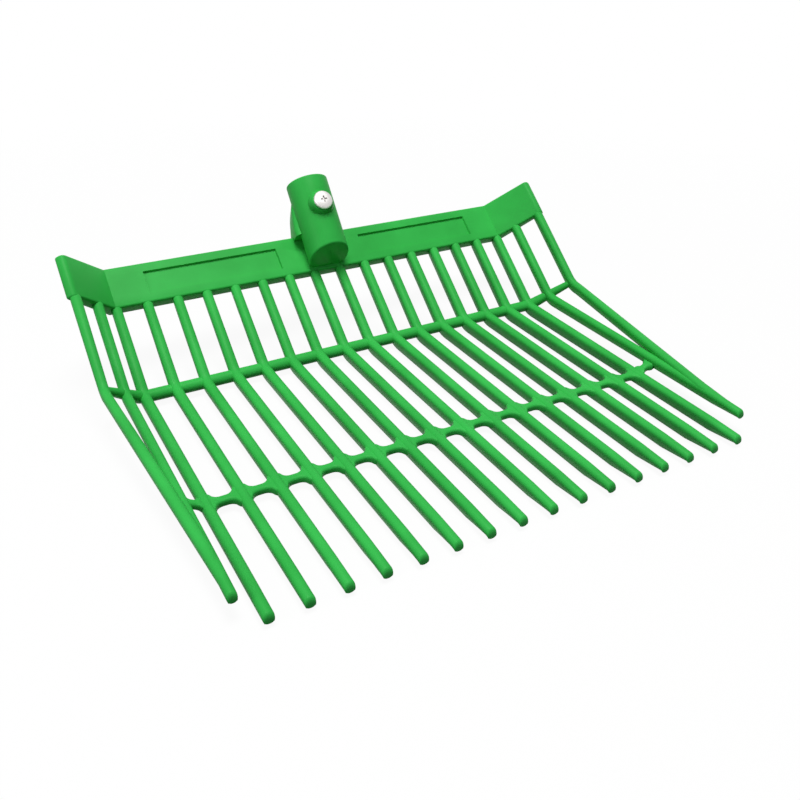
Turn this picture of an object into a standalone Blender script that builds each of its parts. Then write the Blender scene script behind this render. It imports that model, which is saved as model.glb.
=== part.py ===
# Stall fork head: a basket of tines on a folded header with a handle socket, and the screw and
# nut that hold the handle. Metres, +Z up. The tines point to -Y and rest on Z = 0.
import math

import bmesh
import bpy
from mathutils import Matrix, Vector

MM = 0.001

# Colours, as linear red, green and blue
PLASTIC_GREEN = (0.04, 0.45, 0.08)
PLASTIC_ROUGHNESS = 0.42
ZINC_STEEL = (0.72, 0.72, 0.70)
STEEL_ROUGHNESS = 0.3

# Sides of the round solids, and the angle past which an edge is shaded sharp
TUBE_SIDES = 40
BOSS_SIDES = 32
HOLE_SIDES = 24
SHARP_ANGLE = math.radians(35.0)
SOFT_EDGE_ANGLE = math.radians(60.0)

# Clearance between pieces that touch, and of the screw in its holes
GAP = 0.3 * MM
SCREW_CLEARANCE = 0.3 * MM

# Centre tines: a straight neck down the slope, a bend, and a long run forward
CENTRE_TINES = 16
TINE_PITCH = 22.0 * MM
TINE_REACH = 226.5 * MM
TINE_HALF_WIDTH = 3.9 * MM
TINE_NECK_HALF_WIDTH = 3.6 * MM
TINE_SHOULDER_WIDTH = 0.87
TINE_CROWN = 3.0 * MM
TINE_CROWN_SQUARENESS = 0.75
TINE_KEEL = 8.7 * MM
TINE_SHOULDER_KEEL = 7.0 * MM
TINE_TIP_KEEL = 3.7 * MM
TINE_KEEL_HALF_WIDTH = 1.1 * MM
TINE_FLANK_WIDTH = 0.86
TINE_FLANK_DEPTH = 0.42
TINE_BEND_RADIUS = 12.0 * MM
TIP_TAPER = 24.0 * MM
TIP_DROP = 0.9 * MM
TIP_ROUNDING = 3.0 * MM
TIP_END_SCALE = 0.62

# Two tines on each wing: one runs forward, and the edge one closes in on it
WING_TINE_REACH = 214.3 * MM
WING_TINE_DISTANCE = 18.1 * MM
WING_TINE_RISE = 9.2 * MM
WING_TINE_KEEL = 6.9 * MM
WING_TINE_HALF_WIDTH = 3.5 * MM
EDGE_TINE_MARGIN = 3.8 * MM
EDGE_TINE_RISE = 22.1 * MM
EDGE_TINE_HALF_WIDTH = 3.3 * MM
EDGE_TINE_END_WIDTH = 1.13
EDGE_TINE_END_KEEL = 7.5 * MM
EDGE_TINE_MEETING = 184.0 * MM
EDGE_TINE_REACH = 172.0 * MM
EDGE_TINE_SHOULDER = 155.0 * MM
SCARF_TILT = math.radians(42.0)

# Header across the top of the necks, with a wing folded forward at each end
UPPER_ANGLE = math.radians(38.7)
HEADER_START = 68.3 * MM
HEADER_HEIGHT = 32.7 * MM
HEADER_FRONT = 2.5 * MM
HEADER_THICKNESS = 10.0 * MM
HEADER_WALL = 3.0 * MM
HEADER_RIB = 3.0 * MM
HUB_HALF_WIDTH = 20.0 * MM
FOLD_OFFSET = 1.5 * MM
WING_FOLD = math.radians(48.5)
WING_WIDTH = 43.8 * MM
WING_DROOP = 0.65 * MM
WING_THINNING = 2.8 * MM
WING_END_ROLL = 4.0 * MM
WING_EDGE_ROUNDING = 1.8 * MM

# Shallow panels in the header's front
PANEL_INNER = 36.0 * MM
PANEL_OUTER = 139.5 * MM
PANEL_MARGIN = 7.3 * MM
PANEL_DEPTH = 1.2 * MM

# Crossbars: a round one under the necks, and a flat one let into the tops of the runs
UPPER_BAR_RADIUS = 4.45 * MM
UPPER_BAR_END_RADIUS = 3.5 * MM
UPPER_BAR_ALONG = 0.2 * MM
UPPER_BAR_DROP = 1.4 * MM
UPPER_BAR_LAP = 2.0 * MM
LOWER_BAR_REACH = 130.8 * MM
LOWER_BAR_WIDTH = 5.6 * MM
LOWER_BAR_HEIGHT = 5.5 * MM
LOWER_BAR_BELOW_CREST = 1.1 * MM
LOWER_BAR_FILLET = 5.5 * MM
STUB_DROP = 2.0 * MM
STUB_INSET = 0.2 * MM

# Handle socket: a tube bedded in the header's middle, with a neck behind it
SOCKET_ANGLE = math.radians(50.0)
SOCKET_RADIUS = 16.5 * MM
SOCKET_WALL = 3.5 * MM
SOCKET_FLOOR = 3.0 * MM
SOCKET_FOOT_RISE = 1.8 * MM
SOCKET_FOOT_TILT = math.radians(9.0)
SOCKET_ABOVE_HEADER = 33.6 * MM
BED_WALL = 2.1 * MM
NECK_FRONT = 6.0 * MM
NECK_HALF_WIDTH = 18.3 * MM
NECK_MIDDLE_RISE = 18.2 * MM
NECK_MIDDLE_HALF_WIDTH = 14.5 * MM
NECK_MIDDLE_DEPTH = 5.7 * MM
NECK_TOP_RISE = 27.5 * MM
NECK_TOP_HALF_WIDTH = 9.5 * MM
NECK_TOP_EMBED = 0.8 * MM
NECK_CORNER = 2.5 * MM

# Handle screw and its nut, across the socket
SCREW_FROM_MOUTH = 23.6 * MM
SCREW_RADIUS = 3.0 * MM
SCREW_HEAD_RADIUS = 7.4 * MM
SCREW_HEAD_HEIGHT = 3.0 * MM
SCREW_HEAD_SIDE = 0.9 * MM
SCREW_HEAD_FLAT = 4.1 * MM
SCREW_HEAD_STEPS = 3
SCREW_POINT = 0.6 * MM
SCREW_PAST_NUT = 0.7 * MM
RECESS_WIDTH = 1.5 * MM
RECESS_LENGTH = 6.4 * MM
RECESS_DEPTH = 1.7 * MM
SCREW_BOSS_RADIUS = 10.0 * MM
SCREW_BOSS_HEIGHT = 3.3 * MM
NUT_BOSS_WALL = 2.7 * MM
NUT_BOSS_HEIGHT = 6.0 * MM
NUT_ACROSS_FLATS = 10.0 * MM
NUT_HEIGHT = 5.0 * MM
NUT_POCKET_DEPTH = 3.5 * MM

SIDE_NAMES = {-1: "left", 1: "right"}

# Values that follow from the ones above
LAST_TINE_X = (CENTRE_TINES - 1) / 2 * TINE_PITCH
FOLD_X = LAST_TINE_X + FOLD_OFFSET
MITRE = math.tan(WING_FOLD / 2)
EDGE_TINE_DISTANCE = WING_WIDTH - EDGE_TINE_MARGIN
HEADER_END = HEADER_START + HEADER_HEIGHT
HEADER_BACK = HEADER_FRONT - HEADER_THICKNESS
HEADER_FLOOR = HEADER_FRONT - HEADER_WALL
LEAN = SOCKET_ANGLE - UPPER_ANGLE
BORE_RADIUS = SOCKET_RADIUS - SOCKET_WALL
FOOT_ALONG = HEADER_START + SOCKET_FOOT_RISE
FOOT_NORMAL = HEADER_BACK + BED_WALL + SOCKET_RADIUS / math.cos(LEAN)
MOUTH_ALONG = HEADER_END + SOCKET_ABOVE_HEADER
MOUTH_NORMAL = FOOT_NORMAL + (MOUTH_ALONG - FOOT_ALONG) * math.tan(LEAN)
SOCKET_LENGTH = (MOUTH_ALONG - FOOT_ALONG) / math.cos(LEAN)
FOOT_LEAN = LEAN + SOCKET_FOOT_TILT
BORE_DEPTH = (SOCKET_LENGTH + SOCKET_RADIUS * math.tan(LEAN) - SOCKET_FLOOR
              - (SOCKET_RADIUS + BORE_RADIUS) * math.tan(FOOT_LEAN))
SCREW_SEAT = SOCKET_RADIUS + SCREW_BOSS_HEIGHT
NUT_BOSS_END = SOCKET_RADIUS + NUT_BOSS_HEIGHT
NUT_SEAT = NUT_BOSS_END - NUT_POCKET_DEPTH
NUT_END = NUT_SEAT + GAP + NUT_HEIGHT
NUT_RADIUS = NUT_ACROSS_FLATS / (2 * math.cos(math.pi / 6))
NUT_BOSS_RADIUS = NUT_RADIUS + NUT_BOSS_WALL
MOUTH_BACK = (MOUTH_ALONG * math.cos(UPPER_ANGLE) - MOUTH_NORMAL * math.sin(UPPER_ANGLE)
              + SOCKET_RADIUS * math.sin(SOCKET_ANGLE))
BEND_Y = (TINE_REACH - MOUTH_BACK) / 2
BEND_Z = TINE_KEEL


def clear_scene():
    for obj in list(bpy.data.objects):
        bpy.data.objects.remove(obj, do_unlink=True)


def make_collection(name):
    collection = bpy.data.collections.new(name)
    bpy.context.scene.collection.children.link(collection)
    return collection


def make_material(name, colour, roughness, metallic):
    material = bpy.data.materials.new(name)
    material.use_nodes = True
    shader = material.node_tree.nodes["Principled BSDF"]
    shader.inputs["Base Color"].default_value = (*colour, 1.0)
    shader.inputs["Roughness"].default_value = roughness
    shader.inputs["Metallic"].default_value = metallic
    return material


def plastic_for(name):
    return make_material(name + "_plastic", PLASTIC_GREEN, PLASTIC_ROUGHNESS, 0.0)


def steel_for(name):
    return make_material(name + "_steel", ZINC_STEEL, STEEL_ROUGHNESS, 1.0)


def make_empty(name, collection, location, rotation, parent=None):
    empty = bpy.data.objects.new(name, None)
    collection.objects.link(empty)
    empty.parent = parent
    empty.location = location
    empty.rotation_euler = rotation
    return empty


def add_part(name, mesh, collection, parent, material):
    obj = bpy.data.objects.new(name, mesh)
    collection.objects.link(obj)
    obj.parent = parent
    mesh.materials.append(material)
    return obj


def add_cutter(name, mesh, collection, parent=None):
    obj = bpy.data.objects.new(name, mesh)
    collection.objects.link(obj)
    obj.parent = parent
    obj.hide_render = True
    obj.display_type = "WIRE"
    return obj


def boolean(obj, other, operation):
    modifier = obj.modifiers.new(operation.lower() + "_" + other.name, "BOOLEAN")
    modifier.operation = operation
    modifier.solver = "EXACT"
    modifier.object = other


def shade(obj):
    obj.data.shade_smooth()
    obj.data.set_sharp_from_angle(angle=SHARP_ANGLE)


def mesh_from(bm, name):
    bmesh.ops.recalc_face_normals(bm, faces=bm.faces)
    mesh = bpy.data.meshes.new(name)
    bm.to_mesh(mesh)
    bm.free()
    return mesh


def boxes_mesh(name, boxes):
    # One or more separate boxes, each given by two opposite corners
    bm = bmesh.new()
    for first, second in boxes:
        size = [abs(second[k] - first[k]) for k in range(3)]
        middle = [(second[k] + first[k]) / 2 for k in range(3)]
        bmesh.ops.create_cube(bm, size=1.0,
                              matrix=Matrix.Translation(middle) @ Matrix.Diagonal((*size, 1.0)))
    return mesh_from(bm, name)


def cylinder_mesh(name, radius, low, high, sides):
    bm = bmesh.new()
    bmesh.ops.create_cone(bm, cap_ends=True, segments=sides, radius1=radius, radius2=radius,
                          depth=high - low, matrix=Matrix.Translation((0.0, 0.0, (low + high) / 2)))
    return mesh_from(bm, name)


def loft_mesh(name, rings):
    # Skins a row of rings that have the same number of points, and closes both ends
    bm = bmesh.new()
    rows = [[bm.verts.new(point) for point in ring] for ring in rings]
    count = len(rows[0])
    for near, far in zip(rows, rows[1:]):
        for k in range(count):
            bm.faces.new((near[k], near[(k + 1) % count], far[(k + 1) % count], far[k]))
    bm.faces.new(rows[0])
    bm.faces.new(rows[-1])
    return mesh_from(bm, name)


def extruded_outline(points, height):
    # A flat outline drawn at local Z = 0 and carried up by height; returns it with its top corners
    bm = bmesh.new()
    face = bm.faces.new([bm.verts.new((x, y, 0.0)) for x, y in points])
    moved = bmesh.ops.extrude_face_region(bm, geom=[face])["geom"]
    top = [item for item in moved if isinstance(item, bmesh.types.BMVert)]
    bmesh.ops.translate(bm, verts=top, vec=(0.0, 0.0, height))
    return bm, top


def upper_point(x, along, normal):
    # World place of a point that is given on the sloping upper part
    return Vector((x,
                   BEND_Y + along * math.cos(UPPER_ANGLE) - normal * math.sin(UPPER_ANGLE),
                   BEND_Z + along * math.sin(UPPER_ANGLE) + normal * math.cos(UPPER_ANGLE)))


def wing_place(distance, offset=0.0):
    # Distance out from the fold and offset from the wing's middle line, as (x, normal)
    return (FOLD_X + distance * math.cos(WING_FOLD) - offset * math.sin(WING_FOLD),
            distance * math.sin(WING_FOLD) + offset * math.cos(WING_FOLD))


def wing_droop(distance):
    return WING_DROOP * distance / WING_WIDTH


def run_point(x, reach, rise=0.0):
    # Middle line of a forward run, which sinks a little as the keel gets shallower
    sink = (TINE_KEEL - TINE_SHOULDER_KEEL) * min(reach / (TINE_REACH - TIP_TAPER), 1.0)
    return Vector((x, BEND_Y - reach, BEND_Z - sink + rise))


def tine_ring(centre, angle, half_width, keel, scale=1.0):
    # Egg-like section: a round crown above, and sides that draw in to a narrow keel
    up = Vector((0.0, -math.sin(angle), math.cos(angle)))
    crown = []
    for k in range(7):
        across, high = math.cos(math.pi * k / 6), math.sin(math.pi * k / 6)
        crown.append((half_width * math.copysign(abs(across) ** TINE_CROWN_SQUARENESS, across),
                      TINE_CROWN * abs(high) ** TINE_CROWN_SQUARENESS))
    below = [(half_width * TINE_FLANK_WIDTH, keel * TINE_FLANK_DEPTH), (TINE_KEEL_HALF_WIDTH, keel)]
    points = crown + [(-x, -z) for x, z in below] + [(x, -z) for x, z in reversed(below)]
    tall = (1.0 + scale) / 2
    return [centre + Vector((x * scale, 0.0, 0.0)) + up * z * tall for x, z in points]


def tine_mesh(name, x, normal, rise, half_width, keel, far_width, shoulder, shoulder_keel, tip, tip_keel):
    # Neck from the header down to the bend, the bend, and the run through the shoulder to the tip
    along = (rise - normal * math.cos(UPPER_ANGLE)) / math.sin(UPPER_ANGLE)
    corner = upper_point(x, along, normal)
    tangent = TINE_BEND_RADIUS * math.tan(UPPER_ANGLE / 2)
    out_on_wing = max((abs(x) - FOLD_X + half_width) / math.cos(WING_FOLD), 0.0)
    top = HEADER_START - wing_droop(out_on_wing) - GAP
    rings = [tine_ring(upper_point(x, top, normal), UPPER_ANGLE, TINE_NECK_HALF_WIDTH, keel)]
    steps = 3
    for k in range(steps, -1, -1):
        turn = UPPER_ANGLE * k / steps
        offset = Vector((0.0, TINE_BEND_RADIUS * math.sin(turn) - tangent,
                         TINE_BEND_RADIUS * (1.0 - math.cos(turn))))
        rings.append(tine_ring(corner + offset, turn, half_width, keel))
    rings.append(tine_ring(shoulder, 0.0, far_width, shoulder_keel))
    before_tip = tip + (shoulder - tip).normalized() * TIP_ROUNDING
    rings.append(tine_ring(before_tip, 0.0, far_width, tip_keel))
    rings.append(tine_ring(tip, 0.0, far_width, tip_keel, scale=TIP_END_SCALE))
    return loft_mesh(name, rings)


def centre_tine(name, x):
    return tine_mesh(name, x, 0.0, 0.0, TINE_HALF_WIDTH, TINE_KEEL, TINE_HALF_WIDTH * TINE_SHOULDER_WIDTH,
                     run_point(x, TINE_REACH - TIP_TAPER), TINE_SHOULDER_KEEL,
                     run_point(x, TINE_REACH, -TIP_DROP), TINE_TIP_KEEL)


def wing_tine(name, side):
    x, normal = wing_place(WING_TINE_DISTANCE)
    x *= side
    return tine_mesh(name, x, normal, WING_TINE_RISE, WING_TINE_HALF_WIDTH, WING_TINE_KEEL,
                     WING_TINE_HALF_WIDTH * TINE_SHOULDER_WIDTH,
                     run_point(x, WING_TINE_REACH - TIP_TAPER, WING_TINE_RISE), WING_TINE_KEEL,
                     run_point(x, WING_TINE_REACH, WING_TINE_RISE - TIP_DROP), TINE_TIP_KEEL)


def edge_tine(name, side):
    # Stops where only a thin scarf of it would be left beside the wing tine
    x, normal = wing_place(EDGE_TINE_DISTANCE)
    x *= side
    bend_reach = (normal - EDGE_TINE_RISE * math.cos(UPPER_ANGLE)) / math.sin(UPPER_ANGLE)
    start = run_point(x, bend_reach, EDGE_TINE_RISE)
    meeting = run_point(side * wing_place(WING_TINE_DISTANCE)[0], EDGE_TINE_MEETING, WING_TINE_RISE)
    span = EDGE_TINE_MEETING - bend_reach
    return tine_mesh(name, x, normal, EDGE_TINE_RISE, EDGE_TINE_HALF_WIDTH, WING_TINE_KEEL,
                     EDGE_TINE_HALF_WIDTH * EDGE_TINE_END_WIDTH,
                     start.lerp(meeting, (EDGE_TINE_SHOULDER - bend_reach) / span), EDGE_TINE_END_KEEL,
                     start.lerp(meeting, (EDGE_TINE_REACH - bend_reach) / span), EDGE_TINE_END_KEEL)


def scarf_cutter(name, side, cutters):
    # Slanted block over the wing tine, which the edge tine's end lies against
    face = WING_TINE_HALF_WIDTH + GAP
    block = 2 * TINE_PITCH
    box = ((side * face, -EDGE_TINE_REACH, -block), (side * (face - block), 0.0, block))
    cutter = add_cutter(name, boxes_mesh(name, [box]), cutters)
    cutter.location = run_point(side * wing_place(WING_TINE_DISTANCE)[0], EDGE_TINE_REACH / 2,
                                WING_TINE_RISE)
    cutter.rotation_euler = (0.0, -side * SCARF_TILT, 0.0)
    return cutter


def upper_bar_mesh(name, spare, scene_collection):
    # Round bar bent at both folds, which gets thinner out along the wings
    corner_x = FOLD_X + UPPER_BAR_DROP * MITRE
    end_x, end_normal = wing_place(EDGE_TINE_DISTANCE + spare, -UPPER_BAR_DROP)
    end_scale = (UPPER_BAR_END_RADIUS + spare) / (UPPER_BAR_RADIUS + spare)
    path = [(-end_x, end_normal, end_scale), (-corner_x, -UPPER_BAR_DROP, 1.0),
            (corner_x, -UPPER_BAR_DROP, 1.0), (end_x, end_normal, end_scale)]
    curve = bpy.data.curves.new(name, "CURVE")
    curve.dimensions = "3D"
    curve.bevel_depth = UPPER_BAR_RADIUS + spare
    curve.bevel_resolution = 2
    curve.use_fill_caps = True
    spline = curve.splines.new("POLY")
    spline.points.add(len(path) - 1)
    for point, (x, normal, scale) in zip(spline.points, path):
        point.co = (x, UPPER_BAR_ALONG, normal, 1.0)
        point.radius = scale
    drawn = bpy.data.objects.new(name + "_curve", curve)
    scene_collection.objects.link(drawn)
    bpy.context.view_layer.update()
    tube = bpy.data.meshes.new_from_object(drawn.evaluated_get(bpy.context.evaluated_depsgraph_get()))
    bpy.data.objects.remove(drawn, do_unlink=True)
    bm = bmesh.new()
    bm.from_mesh(tube)
    bmesh.ops.remove_doubles(bm, verts=bm.verts, dist=GAP / 30)
    return mesh_from(bm, name)


def wing_lap(name, side, spare, cutters, wing_frame):
    # Block under the upper bar, where the bar is halved over the wing tine
    near, far = WING_TINE_DISTANCE - WING_TINE_KEEL, WING_TINE_DISTANCE + WING_TINE_HALF_WIDTH
    top = -UPPER_BAR_LAP - spare
    box = ((side * (near + spare), -TINE_PITCH, top - TINE_PITCH), (side * (far - spare), TINE_PITCH, top))
    return add_cutter(name, boxes_mesh(name, [box]), cutters, wing_frame)


def upper_bar(name, parts, cutters, upper_frame, wing_frames):
    bar = add_part(name, upper_bar_mesh(name, 0.0, parts), parts, upper_frame, plastic_for(name))
    for side, frame in wing_frames.items():
        lap = wing_lap("%s_lap_%s" % (name, SIDE_NAMES[side]), side, 0.0, cutters, frame)
        boolean(bar, lap, "DIFFERENCE")


def upper_bar_notch(name, cutters, upper_frame):
    return add_cutter(name, upper_bar_mesh(name, GAP, cutters), cutters, upper_frame)


def wing_tine_notch(name, side, cutters, upper_frame, wing_frame):
    # The upper bar's notch without its lower part, so that the wing tine stays whole under the bar
    notch = upper_bar_notch(name, cutters, upper_frame)
    boolean(notch, wing_lap(name + "_lap", side, GAP, cutters, wing_frame), "DIFFERENCE")
    return notch


def lower_bar_outline():
    # Plan outline with a round fillet in each corner between the bar and a tine
    half = LOWER_BAR_WIDTH / 2
    side = TINE_HALF_WIDTH + GAP
    turns = [math.radians(30.0 * k) for k in range(4)]
    flare = [(LOWER_BAR_FILLET * (1.0 - math.sin(turn)), LOWER_BAR_FILLET * (1.0 - math.cos(turn)))
             for turn in turns]
    edge = []
    for k in range(CENTRE_TINES):
        x = -LAST_TINE_X + k * TINE_PITCH
        if k > 0:
            edge += [(x - side - inset, half + out) for inset, out in flare]
        edge += [(x - side, half), (x + side, half)]
        if k < CENTRE_TINES - 1:
            edge += [(x + side + inset, half + out) for inset, out in reversed(flare)]
    return edge + [(x, -y) for x, y in reversed(edge)]


def lower_bar_place():
    # Centre of the flat crossbar's underside
    crest = run_point(0.0, LOWER_BAR_REACH, TINE_CROWN - LOWER_BAR_BELOW_CREST)
    return crest - Vector((0.0, 0.0, LOWER_BAR_HEIGHT))


def lower_bar(name, parts, cutters):
    bm, _ = extruded_outline(lower_bar_outline(), LOWER_BAR_HEIGHT)
    bar = add_part(name, mesh_from(bm, name), parts, None, plastic_for(name))
    bar.location = lower_bar_place()
    half = LOWER_BAR_WIDTH / 2 - STUB_INSET
    near_x = LAST_TINE_X + TINE_HALF_WIDTH - GAP
    far_x = wing_place(WING_TINE_DISTANCE)[0] - WING_TINE_HALF_WIDTH - GAP
    for side, label in SIDE_NAMES.items():
        rings = []
        for x, rise in ((near_x, 0.0), (far_x, WING_TINE_RISE - STUB_DROP)):
            low, high = rise + STUB_INSET, rise + LOWER_BAR_HEIGHT - STUB_INSET
            rings.append([Vector((side * x, -half, low)), Vector((side * x, half, low)),
                          Vector((side * x, half, high)), Vector((side * x, -half, high))])
        stub_name = name + "_stub_" + label
        stub = add_cutter(stub_name, loft_mesh(stub_name, rings), cutters)
        stub.location = bar.location
        boolean(bar, stub, "UNION")
    return bar


def lower_bar_notch(name, cutters):
    half = LOWER_BAR_WIDTH / 2 + GAP
    end = LAST_TINE_X + TINE_PITCH / 2
    top = LOWER_BAR_HEIGHT + TINE_CROWN
    notch = add_cutter(name, boxes_mesh(name, [((-end, -half, -GAP), (end, half, top))]), cutters)
    notch.location = lower_bar_place()
    return notch


def header_beam(name, parts, cutters, upper_frame, bed):
    # Straight part of the header, with its ends cut along the mitres of the folds
    end = FOLD_X - GAP / 2
    outline = [(-end, HEADER_START), (end, HEADER_START), (end, HEADER_END), (-end, HEADER_END)]
    bm, _ = extruded_outline(outline, HEADER_THICKNESS)
    bmesh.ops.translate(bm, verts=bm.verts, vec=(0.0, 0.0, HEADER_BACK))
    for vertex in bm.verts:
        vertex.co.x -= math.copysign(vertex.co.z * MITRE, vertex.co.x)
    beam = add_part(name, mesh_from(bm, name), parts, upper_frame, plastic_for(name))
    low, high = HEADER_START + HEADER_WALL, HEADER_END - HEADER_WALL
    open_back = HEADER_BACK - HEADER_WALL
    pockets = []
    near = HUB_HALF_WIDTH
    for k in range(1, CENTRE_TINES // 2):
        far = (k + 0.5) * TINE_PITCH - HEADER_RIB / 2
        for side in (-1, 1):
            pockets.append(((side * near, low, open_back), (side * far, high, HEADER_FLOOR)))
        near = far + HEADER_RIB
    hollow = name + "_pockets"
    boolean(beam, add_cutter(hollow, boxes_mesh(hollow, pockets), cutters, upper_frame), "DIFFERENCE")
    low, high = HEADER_START + PANEL_MARGIN, HEADER_END - PANEL_MARGIN
    panels = [((side * PANEL_INNER, low, HEADER_FRONT - PANEL_DEPTH),
               (side * PANEL_OUTER, high, HEADER_FRONT + PANEL_DEPTH)) for side in (-1, 1)]
    recess = name + "_panels"
    boolean(beam, add_cutter(recess, boxes_mesh(recess, panels), cutters, upper_frame), "DIFFERENCE")
    boolean(beam, bed, "DIFFERENCE")
    return beam


def wing_frame(name, side, parts, upper_frame):
    # Frame of a folded end: X out from the fold, and Z square to it
    return make_empty(name, parts, (side * FOLD_X, 0.0, 0.0), (0.0, -side * WING_FOLD, 0.0), upper_frame)


def wing(name, side, parts, cutters, frame):
    # Folded end of the header, thinner and rolled over in front at its far end
    start = GAP / 2
    outline = [(start, HEADER_START), (WING_WIDTH, HEADER_START - WING_DROOP),
               (WING_WIDTH, HEADER_END - WING_DROOP), (start, HEADER_END)]
    bm, _ = extruded_outline([(side * x, y) for x, y in outline], HEADER_THICKNESS)
    bmesh.ops.translate(bm, verts=bm.verts, vec=(0.0, 0.0, HEADER_BACK))
    far = WING_WIDTH - GAP
    for vertex in bm.verts:
        if abs(vertex.co.x) < far:
            vertex.co.x += side * vertex.co.z * MITRE
        elif vertex.co.z < 0.0:
            vertex.co.z += WING_THINNING
    front_edges = [edge for edge in bm.edges
                   if all(abs(vertex.co.x) > far and vertex.co.z > 0.0 for vertex in edge.verts)]
    bmesh.ops.bevel(bm, geom=front_edges, offset=WING_END_ROLL, segments=3, profile=0.5, affect="EDGES")
    weights = bm.edges.layers.float.new("bevel_weight_edge")
    for edge in bm.edges:
        across_fold = max(abs(vertex.co.x) for vertex in edge.verts) < WING_WIDTH / 2
        if edge.calc_face_angle(0.0) > SOFT_EDGE_ANGLE and not across_fold:
            edge[weights] = 1.0
    plate = add_part(name, mesh_from(bm, name), parts, frame, plastic_for(name))
    bevel = plate.modifiers.new("soft_edges", "BEVEL")
    bevel.limit_method = "WEIGHT"
    bevel.width = WING_EDGE_ROUNDING
    bevel.segments = 2
    rib = HEADER_RIB / 2
    bays = ((rib, WING_TINE_DISTANCE - rib), (WING_TINE_DISTANCE + rib, EDGE_TINE_DISTANCE - rib))
    low, high = HEADER_START + HEADER_WALL, HEADER_END - HEADER_WALL - WING_DROOP
    boxes = [((side * near, low, HEADER_BACK - HEADER_WALL), (side * far, high, HEADER_FLOOR))
             for near, far in bays]
    hollow = name + "_pockets"
    boolean(plate, add_cutter(hollow, boxes_mesh(hollow, boxes), cutters, frame), "DIFFERENCE")


def foot_trim(name, spare, cutters, upper_frame):
    # Room below the plane that the socket's foot is cut to, which rises towards the front
    reach = 3 * SOCKET_RADIUS
    box = ((-reach, -reach - spare, -reach), (reach, -spare, reach))
    trim = add_cutter(name, boxes_mesh(name, [box]), cutters, upper_frame)
    trim.location = (0.0, FOOT_ALONG, HEADER_BACK + BED_WALL)
    trim.rotation_euler = (-SOCKET_FOOT_TILT, 0.0, 0.0)
    return trim


def socket_bed(name, cutters, upper_frame, socket_frame):
    # Room in the header for the lower part of the tube
    mesh = cylinder_mesh(name, SOCKET_RADIUS + GAP, -SOCKET_LENGTH - SOCKET_RADIUS, 0.0, TUBE_SIDES)
    bed = add_cutter(name, mesh, cutters, socket_frame)
    boolean(bed, foot_trim(name + "_trim", GAP, cutters, upper_frame), "DIFFERENCE")
    return bed


def neck_mesh(name):
    # Fills the corner between the tube's back and the header's top, and fades into the tube
    rings = []
    for rise, half, depth in ((GAP, NECK_HALF_WIDTH, None),
                              (NECK_MIDDLE_RISE, NECK_MIDDLE_HALF_WIDTH, NECK_MIDDLE_DEPTH),
                              (NECK_TOP_RISE, NECK_TOP_HALF_WIDTH, -NECK_TOP_EMBED)):
        along = HEADER_END + rise
        axis = FOOT_NORMAL + (along - FOOT_ALONG) * math.tan(LEAN)
        tube_back = axis - SOCKET_RADIUS / math.cos(LEAN)
        back = HEADER_BACK if depth is None else tube_back - depth
        front = tube_back + NECK_FRONT
        right = [(half - NECK_CORNER, back), (half, back + NECK_CORNER),
                 (half, front - NECK_CORNER), (half - NECK_CORNER, front)]
        outline = right + [(-x, normal) for x, normal in reversed(right)]
        rings.append([Vector((x, along, normal)) for x, normal in outline])
    return loft_mesh(name, rings)


def socket(name, parts, cutters, upper_frame, socket_frame, screw_frame):
    tube = cylinder_mesh(name, SOCKET_RADIUS, -SOCKET_LENGTH - SOCKET_RADIUS, 0.0, TUBE_SIDES)
    body = add_part(name, tube, parts, socket_frame, plastic_for(name))
    inside = SOCKET_RADIUS / 2
    hole = SCREW_RADIUS + SCREW_CLEARANCE
    neck = neck_mesh(name + "_neck")
    screw_boss = cylinder_mesh(name + "_screw_boss", SCREW_BOSS_RADIUS, inside, SCREW_SEAT, BOSS_SIDES)
    nut_boss = cylinder_mesh(name + "_nut_boss", NUT_BOSS_RADIUS, -NUT_BOSS_END, -inside, BOSS_SIDES)
    bore = cylinder_mesh(name + "_bore", BORE_RADIUS, -BORE_DEPTH, SOCKET_WALL, TUBE_SIDES)
    cross_hole = cylinder_mesh(name + "_cross_hole", hole, -NUT_BOSS_END - GAP, SCREW_SEAT + GAP,
                               HOLE_SIDES)
    pocket = cylinder_mesh(name + "_nut_pocket", NUT_RADIUS + GAP, -NUT_BOSS_END - SOCKET_RADIUS,
                           -NUT_SEAT, 6)
    for mesh, operation, parent in ((neck, "UNION", upper_frame), (screw_boss, "UNION", screw_frame),
                                    (nut_boss, "UNION", screw_frame), (bore, "DIFFERENCE", socket_frame),
                                    (cross_hole, "DIFFERENCE", screw_frame),
                                    (pocket, "DIFFERENCE", screw_frame)):
        boolean(body, add_cutter(mesh.name, mesh, cutters, parent), operation)
    boolean(body, foot_trim(name + "_trim", 0.0, cutters, upper_frame), "DIFFERENCE")
    return body


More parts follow.
